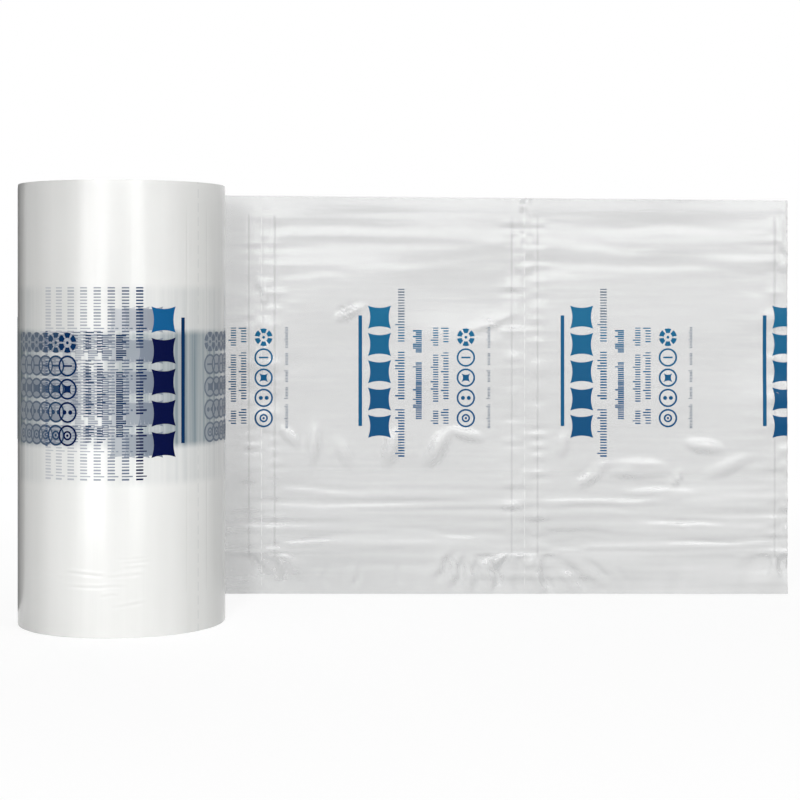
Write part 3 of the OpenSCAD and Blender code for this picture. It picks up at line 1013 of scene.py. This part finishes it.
def floor_white():
    """White where it is seen, with the object's shadow near it, and a plain pale floor to all other light."""
    n = material("floor_white")
    places = {0: n.coords("Object"), 1: (0.27, 0.1, 0)}
    away = n.add("ShaderNodeVectorMath", places, operation="DISTANCE").outputs["Value"]
    light = n.add("ShaderNodeBsdfDiffuse", {"Color": (0.80, 0.80, 0.80, 1)})
    dim = n.add("ShaderNodeBsdfDiffuse", {"Color": (0.25, 0.25, 0.25, 1)})
    glow = n.add("ShaderNodeEmission", {"Color": (1, 1, 1, 1), "Strength": 0.83})
    white = n.add("ShaderNodeEmission", {"Color": (1, 1, 1, 1), "Strength": 1.0})
    near = n.add("ShaderNodeAddShader", {0: dim.outputs[0], 1: glow.outputs[0]})
    shown = n.mixed(n.ranged(away, 0.6, 1.4, 0, 1, True), near, white)
    return n.finish(n.mixed(n.seen(), light, shown))


def stage():
    corners = [(-8, -6, 0), (9, -6, 0), (9, 8, 0), (-8, 8, 0)]
    floor = stage_object("floor", corners, [(0, 1, 2, 3)], floor_white())
    # a dark card on the floor and behind the left of the roll: only reflections see it
    columns = 12
    angles = np.radians(np.linspace(100, 160, columns))
    edges = ((0.1, 0.001), (0.32, 0.001), (0.32, 0.6))
    points = [(r * math.cos(a), r * math.sin(a), h) for r, h in edges for a in angles]
    first = [row * columns + i for row in range(len(edges) - 1) for i in range(columns - 1)]
    n = material("card_black")
    black = n.finish(n.add("ShaderNodeBsdfDiffuse", {"Color": (0.12, 0.12, 0.12, 1)}))
    card = stage_object("card", points, [(i, i + 1, i + 1 + columns, i + columns) for i in first], black)
    card.visible_camera = card.visible_diffuse = card.visible_shadow = card.visible_transmission = False


def world():
    """White where it is seen, and a softer light on the object, with less from the left."""
    made = bpy.data.worlds.new("studio")
    bpy.context.scene.world = made
    n = Nodes(made, "ShaderNodeOutputWorld")
    across = n.add("ShaderNodeSeparateXYZ", {0: n.coords("Generated")}).outputs[0]
    strength = n.ranged(across, -0.8, 0.5, 0.02, 0.38)
    soft = n.add("ShaderNodeBackground", {"Color": (1, 1, 1, 1), "Strength": strength})
    white = n.add("ShaderNodeBackground", {"Color": (1, 1, 1, 1), "Strength": 1.0})
    n.finish(n.mixed(n.seen(), soft, white))


def lamp(name, around, above, away, size, power, diffuse=True, glossy=True, height=0.2, only=None):
    """An area lamp aimed at the roll's axis at a height in metres, around and above in degrees from its front.

    around grows to the right. only is the collection that it lights, if not everything.
    """
    a, e = math.radians(around), math.radians(above)
    data = bpy.data.lights.new(name, "AREA")
    data.shape = "RECTANGLE"
    data.size, data.size_y = size
    data.energy = power
    obj = bpy.data.objects.new(name, data)
    flat = away * math.cos(e)
    obj.location = (flat * math.sin(a), -flat * math.cos(a), height + away * math.sin(e))
    obj.rotation_euler = (math.pi / 2 - e, 0, a)
    obj.visible_diffuse, obj.visible_glossy = diffuse, glossy
    obj.visible_camera = False
    bpy.context.collection.objects.link(obj)
    if only:
        obj.light_linking.receiver_collection = only


def camera():
    """Level and square to the tail, with the shift that the photograph's framing needs."""
    data = bpy.data.cameras.new("camera")
    data.lens, data.sensor_width = 83.25, 36.0
    data.shift_y = -0.125
    obj = bpy.data.objects.new("camera", data)
    obj.location = (0.2559, -1.705, 0.295)
    obj.rotation_euler = (math.pi / 2, 0, 0)
    bpy.context.collection.objects.link(obj)
    bpy.context.scene.camera = obj


stage()
world()
on_the_roll = bpy.data.collections.new("lit_by_strips")
for name in ("film_roll", "print_on_roll", "print_under_turns"):
    on_the_roll.objects.link(bpy.data.objects[name])
lamp("key", -3, 12, 2.4, (0.25, 1.0), 22.2, glossy=False)
lamp("fill", 42, 12, 2.0, (1.2, 0.8), 4.9)
lamp("strip_left", -21, 0, 0.62, (0.30, 0.7), 2.5, diffuse=False, height=0.355, only=on_the_roll)
lamp("strip_front", 23, 0, 0.62, (0.13, 0.7), 0.85, diffuse=False, height=0.355, only=on_the_roll)
lamp("front", -4, 0, 0.34, (0.12, 0.18), 0.20, glossy=False, height=0.07, only=on_the_roll)
lamp("sheen", 6, 15, 2.4, (1.9, 0.8), 15, diffuse=False)
lamp("top", 0, 84, 2.0, (1.2, 1.2), 5, glossy=False)
lamp("rear", 178, 12, 2.6, (2.8, 1.0), 44, glossy=False)
camera()
bpy.context.scene.view_settings.view_transform = "Standard"
